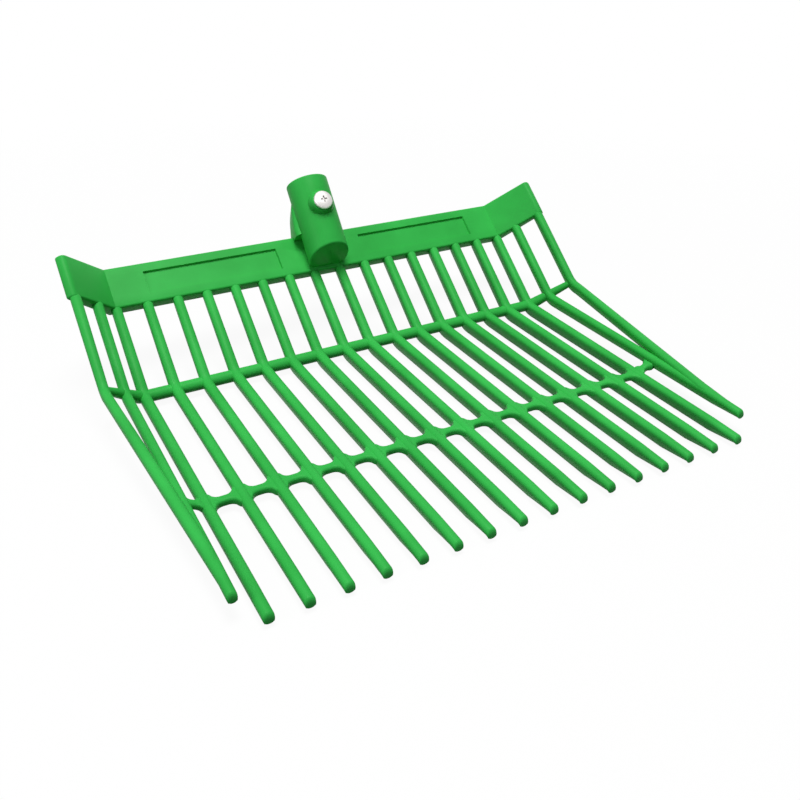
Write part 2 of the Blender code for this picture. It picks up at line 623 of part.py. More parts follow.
def screw(name, parts, cutters, screw_frame):
    # Pan head with a cross recess, and a shank that ends just past the nut
    seat = SCREW_SEAT + GAP
    side, top = seat + SCREW_HEAD_SIDE, seat + SCREW_HEAD_HEIGHT
    end = -NUT_END - SCREW_PAST_NUT
    head = []
    for k in range(SCREW_HEAD_STEPS, -1, -1):
        turn = math.pi / 2 * k / SCREW_HEAD_STEPS
        head.append((SCREW_HEAD_FLAT + (SCREW_HEAD_RADIUS - SCREW_HEAD_FLAT) * math.cos(turn),
                     side + (top - side) * math.sin(turn)))
    profile = [(0.0, top), *head, (SCREW_HEAD_RADIUS, seat), (SCREW_RADIUS, seat),
               (SCREW_RADIUS, end + SCREW_PAST_NUT), (SCREW_RADIUS - SCREW_POINT, end), (0.0, end)]
    bm = bmesh.new()
    corners = [bm.verts.new((radius, 0.0, z)) for radius, z in profile]
    for first, second in zip(corners, corners[1:]):
        bm.edges.new((first, second))
    mesh = bpy.data.meshes.new(name)
    bm.to_mesh(mesh)
    bm.free()
    body = add_part(name, mesh, parts, screw_frame, steel_for(name))
    turning = body.modifiers.new("turned", "SCREW")
    turning.steps = turning.render_steps = BOSS_SIDES
    turning.use_merge_vertices = True
    turning.merge_threshold = GAP / 30
    arm, half = RECESS_LENGTH / 2, RECESS_WIDTH / 2
    for label, across, deep in (("a", arm, half), ("b", half, arm)):
        slot = name + "_recess_" + label
        box = ((-across, -deep, top - RECESS_DEPTH), (across, deep, top + RECESS_DEPTH))
        boolean(body, add_cutter(slot, boxes_mesh(slot, [box]), cutters, screw_frame), "DIFFERENCE")
    return body


def nut(name, parts, cutters, screw_frame):
    mesh = cylinder_mesh(name, NUT_RADIUS, -NUT_END, -NUT_SEAT - GAP, 6)
    body = add_part(name, mesh, parts, screw_frame, steel_for(name))
    hole = cylinder_mesh(name + "_hole", SCREW_RADIUS + SCREW_CLEARANCE, -NUT_END - GAP, -NUT_SEAT,
                         HOLE_SIDES)
    boolean(body, add_cutter(name + "_hole", hole, cutters, screw_frame), "DIFFERENCE")
    return body


def tines(parts, cutters, upper_notch, wing_notches, lower_notch):
    # Numbered from the left: an edge tine and a wing tine stand outside the centre ones
    total = CENTRE_TINES + 4
    for number in range(1, total + 1):
        name = "tine_%02d" % number
        side = -1 if number <= total // 2 else 1
        place = min(number, total + 1 - number)
        if place == 1:
            mesh = edge_tine(name, side)
        elif place == 2:
            mesh = wing_tine(name, side)
        else:
            mesh = centre_tine(name, -LAST_TINE_X + (number - 3) * TINE_PITCH)
        tine = add_part(name, mesh, parts, None, plastic_for(name))
        boolean(tine, wing_notches[side] if place == 2 else upper_notch, "DIFFERENCE")
        if place == 1:
            boolean(tine, scarf_cutter(name + "_scarf", side, cutters), "DIFFERENCE")
        if place > 2:
            boolean(tine, lower_notch, "DIFFERENCE")


def build():
    clear_scene()
    parts = make_collection("stall_fork_head")
    cutters = make_collection("cutters")
    upper_frame = make_empty("upper_frame", parts, (0.0, BEND_Y, BEND_Z), (UPPER_ANGLE, 0.0, 0.0))
    mouth = upper_point(0.0, MOUTH_ALONG, MOUTH_NORMAL)
    socket_frame = make_empty("socket_frame", parts, mouth, (SOCKET_ANGLE - math.pi / 2, 0.0, 0.0))
    screw_frame = make_empty("screw_frame", parts, (0.0, 0.0, -SCREW_FROM_MOUTH), (math.pi / 2, 0.0, 0.0),
                             socket_frame)

    bed = socket_bed("socket_bed", cutters, upper_frame, socket_frame)
    header_beam("header_beam", parts, cutters, upper_frame, bed)
    wing_frames = {}
    for side, label in SIDE_NAMES.items():
        wing_frames[side] = wing_frame("wing_frame_" + label, side, parts, upper_frame)
        wing("wing_" + label, side, parts, cutters, wing_frames[side])
    socket("socket", parts, cutters, upper_frame, socket_frame, screw_frame)

    upper_bar("crossbar_upper", parts, cutters, upper_frame, wing_frames)
    upper_notch = upper_bar_notch("upper_notch", cutters, upper_frame)
    wing_notches = {}
    for side, frame in wing_frames.items():
        notch = "wing_notch_" + SIDE_NAMES[side]
        wing_notches[side] = wing_tine_notch(notch, side, cutters, upper_frame, frame)
    lower_bar("crossbar_lower", parts, cutters)
    lower_notch = lower_bar_notch("lower_notch", cutters)
    tines(parts, cutters, upper_notch, wing_notches, lower_notch)

    screw("screw", parts, cutters, screw_frame)
    nut("nut", parts, cutters, screw_frame)
    for obj in parts.objects:
        if obj.type == "MESH":
            shade(obj)


build()
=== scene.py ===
import math

import bmesh
import bpy
from mathutils import Matrix, Vector


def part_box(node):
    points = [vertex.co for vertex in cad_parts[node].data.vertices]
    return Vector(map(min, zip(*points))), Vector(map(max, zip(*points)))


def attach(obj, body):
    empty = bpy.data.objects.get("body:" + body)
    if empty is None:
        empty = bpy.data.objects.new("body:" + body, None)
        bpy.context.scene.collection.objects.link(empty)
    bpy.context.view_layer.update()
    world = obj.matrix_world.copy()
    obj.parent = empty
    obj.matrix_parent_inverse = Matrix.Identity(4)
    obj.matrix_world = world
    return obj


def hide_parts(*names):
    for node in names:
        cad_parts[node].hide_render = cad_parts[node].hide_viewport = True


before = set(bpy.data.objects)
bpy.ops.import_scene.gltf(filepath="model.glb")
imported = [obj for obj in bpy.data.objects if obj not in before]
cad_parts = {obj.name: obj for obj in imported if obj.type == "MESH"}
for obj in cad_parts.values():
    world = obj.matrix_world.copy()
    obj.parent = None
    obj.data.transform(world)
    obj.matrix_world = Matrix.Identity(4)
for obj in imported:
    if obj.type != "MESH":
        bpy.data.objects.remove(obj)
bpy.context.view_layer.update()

mm = 0.001
tiny = 0.02 * mm  # two places closer than this are the same one
past = 1.0 * mm  # how far a cutting shape stands out past what it cuts

# The head as a whole: a flat run of tines, a slope behind it, and a header across the slope's top
head = {
    "centreTines": 16,
    "pitch": 22.0 * mm,
    "reach": 226.5 * mm,  # from the bend forward to a centre tine's tip
    "slope": math.radians(38.7),
    "crown": 3.0 * mm,  # a tine's height above its middle line
    "keel": 8.7 * mm,  # and its depth below it
    "sink": 1.7 * mm,  # how far the middle line drops as the keel gets shallower
    "taper": 24.0 * mm,  # the tine's last stretch, where the keel goes
    "headerStart": 68.3 * mm,  # places up the slope, from the bend
    "headerEnd": 101.0 * mm,
    "headerFront": 2.5 * mm,  # places out from the slope
    "headerBack": -7.5 * mm,
    "foldX": 166.5 * mm,
    "fold": math.radians(48.5),
    "wingWidth": 43.8 * mm,
    "wingDroop": 0.65 * mm,
}
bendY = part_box("tine_10")[0].y + head["reach"]
bendZ = head["keel"]
mitre = math.tan(head["fold"] / 2)


def onSlope(x, along, normal):
    # world place of a point given on the slope
    turned = Matrix.Rotation(head["slope"], 3, "X") @ Vector((x, along, normal))
    return turned + Vector((0, bendY, bendZ))


def onWing(distance, offset=0.0):
    # distance out from the fold and offset from the wing's middle, as (x, normal) on the slope
    fold = head["fold"]
    return (head["foldX"] + distance * math.cos(fold) - offset * math.sin(fold),
            distance * math.sin(fold) + offset * math.cos(fold))


def onRun(x, reach, rise=0.0):
    # world place on the middle line of a tine's forward run
    sink = head["sink"] * min(reach / (head["reach"] - head["taper"]), 1.0)
    return Vector((x, bendY - reach, bendZ - sink + rise))


# Modelling by hand, as calls: each one does what a key or a menu does in edit mode

def begin(name, addPrimitive, **settings):
    bpy.ops.object.select_all(action="DESELECT")
    addPrimitive(**settings)
    piece = bpy.context.active_object
    piece.name = piece.data.name = name
    bpy.ops.object.transform_apply(location=True, rotation=True, scale=True)
    bpy.ops.object.mode_set(mode="EDIT")
    return piece


def cylinder(name, radius, low, high, sides=64):
    return begin(name, bpy.ops.mesh.primitive_cylinder_add, vertices=sides, radius=radius,
                 depth=high - low, location=(0, 0, (low + high) / 2))


def middle(item):
    return sum((corner.co for corner in item.verts), Vector()) / len(item.verts)


def pick(kind, test):
    # selects the vertices, edges or faces that pass the test, and nothing else
    bpy.ops.mesh.select_mode(type=kind)
    bpy.ops.mesh.select_all(action="DESELECT")
    mesh = bmesh.from_edit_mesh(bpy.context.active_object.data)
    for item in {"VERT": mesh.verts, "EDGE": mesh.edges, "FACE": mesh.faces}[kind]:
        if test(item):
            item.select_set(True)
    mesh.select_flush_mode()
    bmesh.update_edit_mesh(bpy.context.active_object.data)


def sharp(edge, angle=1.0):
    # whether an edge's two faces meet at more than the angle, in radians
    return edge.calc_face_angle(0) > angle


def extrude(value):
    bpy.ops.mesh.extrude_region_move(TRANSFORM_OT_translate={"value": tuple(value)})


def resize(value, centre):
    bpy.ops.transform.resize(value=value, center_override=tuple(centre))


def leaveEditing():
    bpy.ops.mesh.select_all(action="SELECT")
    bpy.ops.mesh.remove_doubles(threshold=tiny)
    bpy.ops.mesh.normals_make_consistent(inside=False)
    bpy.ops.object.mode_set(mode="OBJECT")


def useOnly(piece):
    bpy.ops.object.select_all(action="DESELECT")
    piece.select_set(True)
    bpy.context.view_layer.objects.active = piece


def modify(piece, kind, **settings):
    # adds a modifier and applies it at once
    useOnly(piece)
    modifier = piece.modifiers.new(kind.lower(), kind)
    for name, value in settings.items():
        setattr(modifier, name, value)
    bpy.ops.object.modifier_apply(modifier=modifier.name)


def combine(piece, other, operation):
    modify(piece, "BOOLEAN", operation=operation, solver="EXACT", object=other)
    bpy.data.objects.remove(other)


def place(piece, matrix):
    useOnly(piece)
    piece.matrix_world = matrix
    bpy.ops.object.transform_apply(location=True, rotation=True, scale=True)


def fit(piece, shape, matrix, operation):
    # takes a shape out of editing, puts it in its place and joins it to the piece or cuts it out
    leaveEditing()
    place(shape, matrix)
    combine(piece, shape, operation)


def copied(piece, name, moved=(0, 0, 0), mirrored=False):
    useOnly(piece)
    bpy.ops.object.duplicate(linked=False)
    copy = bpy.context.active_object
    copy.name = copy.data.name = name
    copy.location = moved
    if mirrored:
        copy.scale = (-1, 1, 1)
    bpy.ops.object.transform_apply(location=True, rotation=True, scale=True)
    if mirrored:  # mirroring turns the mesh inside out
        bpy.ops.object.mode_set(mode="EDIT")
        leaveEditing()
    return copy


def finish(piece, body, nodes, material, smoothUpTo=35.0):
    # an edge stays crisp where its faces meet at more than smoothUpTo, in degrees
    useOnly(piece)
    bpy.ops.object.shade_smooth_by_angle(angle=math.radians(smoothUpTo))
    piece.data.materials.clear()
    piece.data.materials.append(material)
    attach(piece, body)
    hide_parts(*nodes)


# Materials

def toLinear(hexCode):
    # an sRGB colour code as the linear colour that the shader takes
    parts = [int(hexCode[k:k + 2], 16) / 255 for k in (0, 2, 4)]
    return [part / 12.92 if part <= 0.04045 else ((part + 0.055) / 1.055) ** 2.4
            for part in parts] + [1.0]


def addNode(tree, kind, inputs, **settings):
    # one node with its settings, and each socket given a value or a link
    made = tree.nodes.new(kind)
    for name, value in settings.items():
        setattr(made, name, value)
    for name, value in inputs.items():
        if isinstance(value, bpy.types.NodeSocket):
            tree.links.new(value, made.inputs[name])
        else:
            made.inputs[name].default_value = value
    return made


def newMaterial(name):
    material = bpy.data.materials.new(name)
    material.use_nodes = True
    return material, material.node_tree, material.node_tree.nodes["Principled BSDF"]


plastic = {
    "green": "3ABE52",
    "deepGreen": "33B049",
    "roughness": (0.37, 0.47),
    "gloss": 0.08,  # specular level of a matt moulded skin
    "cloud": 45.0 * mm,  # size of the slow change of tone
    "grain": 1.1 * mm,  # spark-eroded mould skin, really 0.1 mm, drawn coarse so that it shows
    "grainDepth": 0.006 * mm,
    "waviness": 14.0 * mm,  # sink marks and flow over the ribs
    "wavinessDepth": 0.04 * mm,
}


def mouldedPolypropylene():
    # Injection-moulded polypropylene: an even satin green, with a faint skin texture and soft waves
    material, tree, shader = newMaterial("moulded_polypropylene")
    where = addNode(tree, "ShaderNodeTexCoord", {}).outputs["Object"]
    cloud = addNode(tree, "ShaderNodeTexNoise", {"Vector": where, "Scale": 1 / plastic["cloud"],
                                                 "Detail": 3.0, "Roughness": 0.55})
    grain = addNode(tree, "ShaderNodeTexNoise", {"Vector": where, "Scale": 1 / plastic["grain"],
                                                 "Detail": 2.0, "Roughness": 0.6})
    waves = addNode(tree, "ShaderNodeTexNoise", {"Vector": where, "Scale": 1 / plastic["waviness"],
                                                 "Detail": 1.0, "Roughness": 0.4})
    tone = addNode(tree, "ShaderNodeValToRGB", {"Fac": cloud.outputs["Fac"]})
    tone.color_ramp.elements[0].position = 0.35
    tone.color_ramp.elements[0].color = toLinear(plastic["deepGreen"])
    tone.color_ramp.elements[1].position = 0.65
    tone.color_ramp.elements[1].color = toLinear(plastic["green"])
    rough = addNode(tree, "ShaderNodeMapRange", {"Value": grain.outputs["Fac"],
                                                 "To Min": plastic["roughness"][0],
                                                 "To Max": plastic["roughness"][1]})
    wavy = addNode(tree, "ShaderNodeBump", {"Height": waves.outputs["Fac"], "Strength": 1.0,
                                            "Distance": plastic["wavinessDepth"]})
    skin = addNode(tree, "ShaderNodeBump", {"Height": grain.outputs["Fac"], "Strength": 1.0,
                                            "Distance": plastic["grainDepth"],
                                            "Normal": wavy.outputs["Normal"]})
    tree.links.new(tone.outputs["Color"], shader.inputs["Base Color"])
    tree.links.new(rough.outputs["Result"], shader.inputs["Roughness"])
    tree.links.new(skin.outputs["Normal"], shader.inputs["Normal"])
    shader.inputs["Specular IOR Level"].default_value = plastic["gloss"]
    return material


zinc = {
    "bright": "E0DDDB",
    "dull": "D2CFCD",
    "shade": 0.6 * mm,  # how far the painted shade reaches: the plating's colour is darkened in a recess or a seam
    "roughness": (0.36, 0.50),
    "spangle": 2.2 * mm,  # size of its cloudy patches
}


def zincPlatedSteel():
    # Cold-headed steel, zinc plated bright: silver with a slightly uneven, cloudy gloss, and painted shade
    # darkening its colour in recesses and seams
    material, tree, shader = newMaterial("zinc_plated_steel")
    where = addNode(tree, "ShaderNodeTexCoord", {}).outputs["Object"]
    cloud = addNode(tree, "ShaderNodeTexNoise", {"Vector": where, "Scale": 1 / zinc["spangle"],
                                                 "Detail": 4.0, "Roughness": 0.6})
    tone = addNode(tree, "ShaderNodeValToRGB", {"Fac": cloud.outputs["Fac"]})
    tone.color_ramp.elements[0].position = 0.3
    tone.color_ramp.elements[0].color = toLinear(zinc["dull"])
    tone.color_ramp.elements[1].position = 0.7
    tone.color_ramp.elements[1].color = toLinear(zinc["bright"])
    rough = addNode(tree, "ShaderNodeMapRange", {"Value": cloud.outputs["Fac"],
                                                 "To Min": zinc["roughness"][0],
                                                 "To Max": zinc["roughness"][1]})
    # painted shade: ambient occlusion darkens the colour in the cross recess, in the thread and under the
    # head
    shade = addNode(tree, "ShaderNodeAmbientOcclusion", {"Color": tone.outputs["Color"],
                                                         "Distance": zinc["shade"]})
    tree.links.new(shade.outputs["Color"], shader.inputs["Base Color"])
    tree.links.new(rough.outputs["Result"], shader.inputs["Roughness"])
    shader.inputs["Metallic"].default_value = 1.0
    return material


green = mouldedPolypropylene()
steel = zincPlatedSteel()
print("materials ready")


# Tines: a circle drawn out along the run, pressed into an egg section, bent and run up the slope

tine = {
    "sides": 24,
    "halfWidth": 3.9 * mm,
    "neckHalfWidth": 3.6 * mm,  # on the slope
    "shoulderWidth": 0.87,  # the run's width at its shoulder, as a share
    "shoulderKeel": 7.0 * mm,
    "tipKeel": 3.4 * mm,
    "tipDrop": 0.9 * mm,  # how far the tip's middle line dips
    "squareness": 0.95,  # below 1, the crown's corners fill out
    "flankStart": 0.45,  # share of the keel's depth, below which the flanks are drawn in
    "flankDraw": 0.86,
    "footStart": 0.95,  # and below which the foot is widened again
    "footWidth": 1.3,
    "bendRadius": 18.0 * mm,
    "bendSteps": 7,
    "tipRounding": 2.2 * mm,
    "tipWidth": 0.82,  # size of the blunt end, as shares of the section
    "tipHeight": 0.38,
    "tipSteps": 4,
    "intoHeader": 3.5 * mm,
    "fade": 0.68,  # size of its end inside the header, as a share
}
wingTine = {
    "distance": 18.1 * mm,  # out from the fold
    "rise": 9.2 * mm,  # of its run above the long tines' middle lines
    "reach": 214.3 * mm,
    "keel": 6.9 * mm,
    "shoulderKeel": 5.6 * mm,
    "halfWidth": 3.5 * mm,
}
edgeTine = {
    "distance": 40.0 * mm,
    "rise": 22.1 * mm,
    "halfWidth": 3.3 * mm,
    "meeting": 190.0 * mm,  # reach at which it meets the wing tine
    "meetingShare": 0.07,  # how far before that its last stretch starts, as a share of its run
    "meetingWidth": 1.15,
    "meetingKeel": 6.4 * mm,
    "endShort": 4.5 * mm,  # its end lies in the wing tine's tip, this far from the tip's front
    "endDrop": 0.4 * mm,
    "endWidth": 0.75,
    "endKeel": 2.2 * mm,
}


def bendOf(x, normal, rise):
    # where a tine's slope line meets its run
    along = (rise - normal * math.cos(head["slope"])) / math.sin(head["slope"])
    return onSlope(x, along, normal)


def atEnd(item, y, low=None):
    # whether a vertex or face lies across the run at y, and below low where that is given
    here = item.co if isinstance(item, bmesh.types.BMVert) else middle(item)
    return abs(here.y - y) < tiny and (low is None or here.z < low - tiny)


def growTine(name, x, normal, rise, halfWidth, keel, stations, rounded):
    # stations are (place, width share, keel) down the run, and a rounded tine gets a blunt tip past them
    corner = bendOf(x, normal, rise)
    tangent = tine["bendRadius"] * math.tan(head["slope"] / 2)
    start = corner - Vector((0, tangent, 0))
    piece = begin(name, bpy.ops.mesh.primitive_circle_add, vertices=tine["sides"], radius=halfWidth,
                  fill_type="NGON", location=start, rotation=(math.pi / 2, 0, 0))
    pick("VERT", lambda v: v.co.z > start.z + tiny)
    resize((1, 1, head["crown"] / halfWidth), start)
    fill = tine["squareness"] - 1
    for level in range(1, tine["sides"] // 4):
        turn = 2 * math.pi * level / tine["sides"]
        pick("VERT", lambda v: abs(v.co.z - start.z - head["crown"] * math.sin(turn)) < tiny)
        resize((math.cos(turn) ** fill, 1, math.sin(turn) ** fill), start)
    pick("VERT", lambda v: v.co.z < start.z - tiny)
    resize((1, 1, keel / halfWidth), start)
    pick("VERT", lambda v: v.co.z < start.z - tine["flankStart"] * keel)
    resize((tine["flankDraw"], 1, 1), start)
    pick("VERT", lambda v: v.co.z < start.z - tine["footStart"] * keel)
    resize((tine["footWidth"], 1, 1), start)

    here, share, depth = start, 1.0, keel
    for there, nextShare, nextKeel in stations:
        pick("FACE", lambda f: atEnd(f, here.y))
        extrude(there - here)
        resize((nextShare / share, 1, 1), there)
        here, share = there, nextShare
        pick("VERT", lambda v: atEnd(v, here.y, here.z))
        resize((1, 1, nextKeel / depth), here)
        depth = nextKeel
    if rounded:
        wide = tall = 1.0
        forward = 0.0
        for step in range(1, tine["tipSteps"] + 1):
            turn = math.pi / 2 * step / tine["tipSteps"]
            nextForward = tine["tipRounding"] * math.sin(turn)
            nextWide = 1 - (1 - tine["tipWidth"]) * (1 - math.cos(turn))
            nextTall = 1 - (1 - tine["tipHeight"]) * (1 - math.cos(turn))
            pick("FACE", lambda f: atEnd(f, here.y))
            extrude((0, forward - nextForward, 0))
            here = here + Vector((0, forward - nextForward, 0))
            resize((nextWide / wide, 1, nextTall / tall), here - Vector((0, 0, depth)))
            wide, tall, forward = nextWide, nextTall, nextForward

    pick("FACE", lambda f: atEnd(f, start.y))
    bpy.ops.mesh.spin(steps=tine["bendSteps"], dupli=False, angle=-head["slope"],
                      center=(x, start.y, start.z + tine["bendRadius"]), axis=(1, 0, 0))
    # on a wing the header's edge droops, and the neck ends with it
    outOnWing = max((abs(x) - head["foldX"] + halfWidth) / math.cos(head["fold"]), 0)
    top = head["headerStart"] - head["wingDroop"] * outOnWing / head["wingWidth"]
    upSlope = onSlope(x, 1, normal) - onSlope(x, 0, normal)
    foot = corner + upSlope * tangent
    neckTop = onSlope(x, top, normal)
    extrude(neckTop - foot)
    resize((tine["neckHalfWidth"] / halfWidth, 1, 1), neckTop)
    extrude(upSlope * tine["intoHeader"])
    fade = tine["fade"]
    resize((fade, fade, fade), onSlope(x, top + tine["intoHeader"], normal - head["crown"]))
    leaveEditing()
    return piece


def straightRun(x, rise, reach, shoulderKeel):
    # shoulder and tip of a tine that runs straight forward
    share = tine["shoulderWidth"]
    return [(onRun(x, reach - head["taper"], rise), share, shoulderKeel),
            (onRun(x, reach - tine["tipRounding"], rise - tine["tipDrop"]), share, tine["tipKeel"])]


def makeCentreTines():
    lastX = (head["centreTines"] - 1) / 2 * head["pitch"]
    first = growTine("tine03", -lastX, 0, 0, tine["halfWidth"], head["keel"],
                     straightRun(-lastX, 0, head["reach"], tine["shoulderKeel"]), rounded=True)
    for k in range(head["centreTines"]):
        number = "%02d" % (k + 3)
        piece = first if k == 0 else copied(first, "tine" + number, (k * head["pitch"], 0, 0))
        finish(piece, "head", ["tine_" + number], green)


def makeWingTines():
    # the right wing's two tines, of which the outer one runs into the inner one, and their mirror images
    x, normal = onWing(wingTine["distance"])
    rise, keel = wingTine["rise"], wingTine["keel"]
    right = growTine("tine19", x, normal, rise, wingTine["halfWidth"], keel,
                     straightRun(x, rise, wingTine["reach"], wingTine["shoulderKeel"]), rounded=True)
    left = copied(right, "tine02", mirrored=True)
    meeting = onRun(x, edgeTine["meeting"], rise)
    end = onRun(x, wingTine["reach"] - edgeTine["endShort"],
                rise - tine["tipDrop"] - edgeTine["endDrop"])

    x, normal = onWing(edgeTine["distance"])
    rise = edgeTine["rise"]
    approach = meeting.lerp(bendOf(x, normal, rise), edgeTine["meetingShare"])
    rightEdge = growTine("tine20", x, normal, rise, edgeTine["halfWidth"], keel,
                         [(approach, edgeTine["meetingWidth"], edgeTine["meetingKeel"]),
                          (end, edgeTine["endWidth"], edgeTine["endKeel"])], rounded=False)
    leftEdge = copied(rightEdge, "tine01", mirrored=True)
    for piece in (right, left, rightEdge, leftEdge):
        finish(piece, "head", [piece.name.replace("tine", "tine_")], green)


makeCentreTines()
makeWingTines()
print("tines modelled")

ontoSlope = Matrix.Translation((0, bendY, bendZ)) @ Matrix.Rotation(head["slope"], 4, "X")
wingOut = Vector((math.cos(head["fold"]), 0, math.sin(head["fold"])))  # out along the right wing


# Header: a bar with a wing folded forward at each end, shallow panels in front, pockets behind

header = {
    "edge": 1.8 * mm,  # rounding all round
    "wingThinning": 2.8 * mm,  # at the wing's end, from behind
    "wingRoll": 4.0 * mm,  # rounding of the wing's end, in front
    "panelInner": 36.0 * mm,
    "panelOuter": 139.5 * mm,
    "panelMargin": 7.3 * mm,
    "panelDepth": 1.8 * mm,
    "panelDraft": 0.45 * mm,
    "hub": 20.0 * mm,  # solid this far to each side of the socket
    "pocketWall": 1.3 * mm,
    "pocketDraft": 0.4 * mm,
    "pocketDepth": 7.0 * mm,
    "wingPocketDepth": 5.2 * mm,
    "leastBack": 20 * mm * mm,  # a smaller face behind a wing belongs to its rounded edges
}


def cutAcross(test, where, direction):
    pick("FACE", test)
    bpy.ops.mesh.bisect(plane_co=tuple(where), plane_no=tuple(direction))


def sinkPockets(test, depth):
    # one pocket with sloping walls in each face that passes the test
    pick("FACE", test)
    bpy.ops.mesh.inset(thickness=header["pocketWall"], depth=0, use_individual=True)
    bpy.ops.mesh.inset(thickness=header["pocketDraft"], depth=-depth, use_individual=True)


def sinkWingPockets(side):
    # a rib in line with each of the wing's two tines, and a pocket on the inner side of each
    out = Vector((side * wingOut.x, 0, wingOut.z))
    facing = Vector((side * wingOut.z, 0, -wingOut.x))
    fold = Vector((side * head["foldX"], 0, 0))

    def behind(f):
        return f.normal.dot(facing) > 0.99 and f.calc_area() > header["leastBack"]

    for distance in (wingTine["distance"], edgeTine["distance"]):
        cutAcross(behind, fold + out * distance, out)
    sinkPockets(lambda f: behind(f) and (middle(f) - fold).dot(out) < edgeTine["distance"],
                header["wingPocketDepth"])


def makeHeader():
    low, high = head["headerStart"], head["headerEnd"]
    front, back = head["headerFront"], head["headerBack"]
    foldX, width = head["foldX"], head["wingWidth"]
    # the right half of the bar, mitred at the fold, and its wing drawn out from there
    piece = begin("header", bpy.ops.mesh.primitive_cube_add, size=1,
                  location=(foldX / 2, (low + high) / 2, (front + back) / 2),
                  scale=(foldX, high - low, front - back))
    for normal in (front, back):
        pick("VERT", lambda v: v.co.x > foldX / 2 and abs(v.co.z - normal) < tiny)
        bpy.ops.transform.translate(value=(-normal * mitre, 0, 0))
    pick("FACE", lambda f: f.normal.x > 0.5)
    extrude(wingOut * width)
    bpy.ops.transform.translate(value=(0, -head["wingDroop"], 0))
    for normal in (front, back):
        corner = Vector((foldX - normal * mitre, 0, normal)) + wingOut * width
        pick("VERT", lambda v: abs(v.co.x - corner.x) < tiny and abs(v.co.z - corner.z) < tiny)
        bpy.ops.transform.translate(value=tuple(-normal * mitre * wingOut))
    wingFacing = Vector((-wingOut.z, 0, wingOut.x))
    bpy.ops.transform.translate(value=tuple(wingFacing * header["wingThinning"]))
    endPlace = Vector((foldX, 0, 0)) + wingOut * width  # middle of the wing's end
    pick("EDGE", lambda e: abs((middle(e) - endPlace).dot(wingOut)) < tiny
         and abs((middle(e) - endPlace).dot(wingFacing) - front) < tiny)
    bpy.ops.mesh.bevel(offset=header["wingRoll"], segments=6)
    pick("FACE", lambda f: abs(middle(f).x) < tiny)
    bpy.ops.mesh.delete(type="ONLY_FACE")
    bpy.ops.object.mode_set(mode="OBJECT")
    modify(piece, "MIRROR", merge_threshold=tiny)

    bpy.ops.object.mode_set(mode="EDIT")
    pick("EDGE", lambda e: sharp(e, 1.2))
    bpy.ops.mesh.bevel(offset=header["edge"], segments=4)

    def inFront(f):
        return f.normal.z > 0.999 and middle(f).z > front - tiny

    def behind(f):
        return f.normal.z < -0.999 and middle(f).z < back + tiny

    margin = header["panelMargin"]
    for along in (low + margin, high - margin):
        cutAcross(inFront, (0, along, 0), (0, 1, 0))
    for x in (header["panelInner"], header["panelOuter"]):
        for side in (-1, 1):
            cutAcross(inFront, (side * x, 0, 0), (1, 0, 0))
    pick("FACE", lambda f: inFront(f) and header["panelInner"] < abs(middle(f).x) < header["panelOuter"]
         and low + margin < middle(f).y < high - margin)
    bpy.ops.mesh.inset(thickness=header["panelDraft"], depth=-header["panelDepth"])

    # ribs behind, in line with the tines
    ribs = [header["hub"]] + [(k + 0.5) * head["pitch"] for k in range(1, head["centreTines"] // 2)]
    for x in ribs:
        for side in (-1, 1):
            cutAcross(behind, (side * x, 0, 0), (1, 0, 0))
    sinkPockets(lambda f: behind(f) and ribs[0] < abs(middle(f).x) < ribs[-1], header["pocketDepth"])
    for side in (-1, 1):
        sinkWingPockets(side)
    leaveEditing()

    # room for the inside of the socket, whose own wall covers the cut
    place(piece, ontoSlope)
    room = cylinder("socketRoom", (socket["radius"] + socket["bore"]) / 2, -boreDepth - past, 0)
    fit(piece, room, ontoSocket, "DIFFERENCE")
    finish(piece, "head", ["header_beam", "wing_left", "wing_right"], green)


# Handle socket: a tube set into the header's middle, with a neck behind and bosses for screw and nut

socket = {
    "angle": math.radians(50.0),
    "footTilt": math.radians(9.0),
    "radius": 16.5 * mm,
    "bore": 13.0 * mm,
    "floor": 3.0 * mm,
    "footAlong": 70.1 * mm,
    "footNormal": -5.4 * mm,  # where the tube's back stands in the header
    "mouthAlong": 134.6 * mm,
    "rim": 1.0 * mm,
    "footEdge": 1.4 * mm,
    "neckHalfWidths": (18.3 * mm, 14.5 * mm, 9.5 * mm),  # at its foot, knee and top
    "neckRises": (-2.0 * mm, 18.2 * mm, 27.5 * mm),  # above the header's edge
    "neckBacks": (-7.5 * mm, -1.3 * mm, 7.1 * mm),
    "neckFrontHalfWidths": (20.3 * mm, 17.6 * mm, 14.0 * mm),
    "neckFront": 15.5 * mm,  # in front of the tube's back
    "neckSkirt": 4.0 * mm,  # how far its front reaches down over the header
    "neckCorner": 4.0 * mm,
    "neckFoot": 2.0 * mm,  # thickness of the block that it grows from
    "neckKnee": 6.0 * mm,  # rounding where its sides turn in
    "screwBelowMouth": 23.6 * mm,
    "screwBoss": 10.0 * mm,  # radii of its foot and top
    "screwBossTop": 8.1 * mm,
    "screwBossFlare": 3.8 * mm,  # height of its sloping side
    "screwSeat": 19.8 * mm,  # out from the socket's middle line, as are the nut's places
    "nutBoss": 8.47 * mm,
    "nutBossEnd": 22.5 * mm,
    "nutSeat": 19.0 * mm,
    "bossEdge": 0.7 * mm,
    "screwHole": 3.3 * mm,
    "gap": 0.3 * mm,  # left round the nut and under the screw's head
}
lean = socket["angle"] - head["slope"]
footLean = lean + socket["footTilt"]
footMiddle = socket["footNormal"] + socket["radius"] / math.cos(lean)
mouthMiddle = footMiddle + (socket["mouthAlong"] - socket["footAlong"]) * math.tan(lean)
tubeLength = (socket["mouthAlong"] - socket["footAlong"]) / math.cos(lean)
boreDepth = (tubeLength - socket["floor"] + socket["radius"] * math.tan(lean)
             - (socket["radius"] + socket["bore"]) * math.tan(footLean))
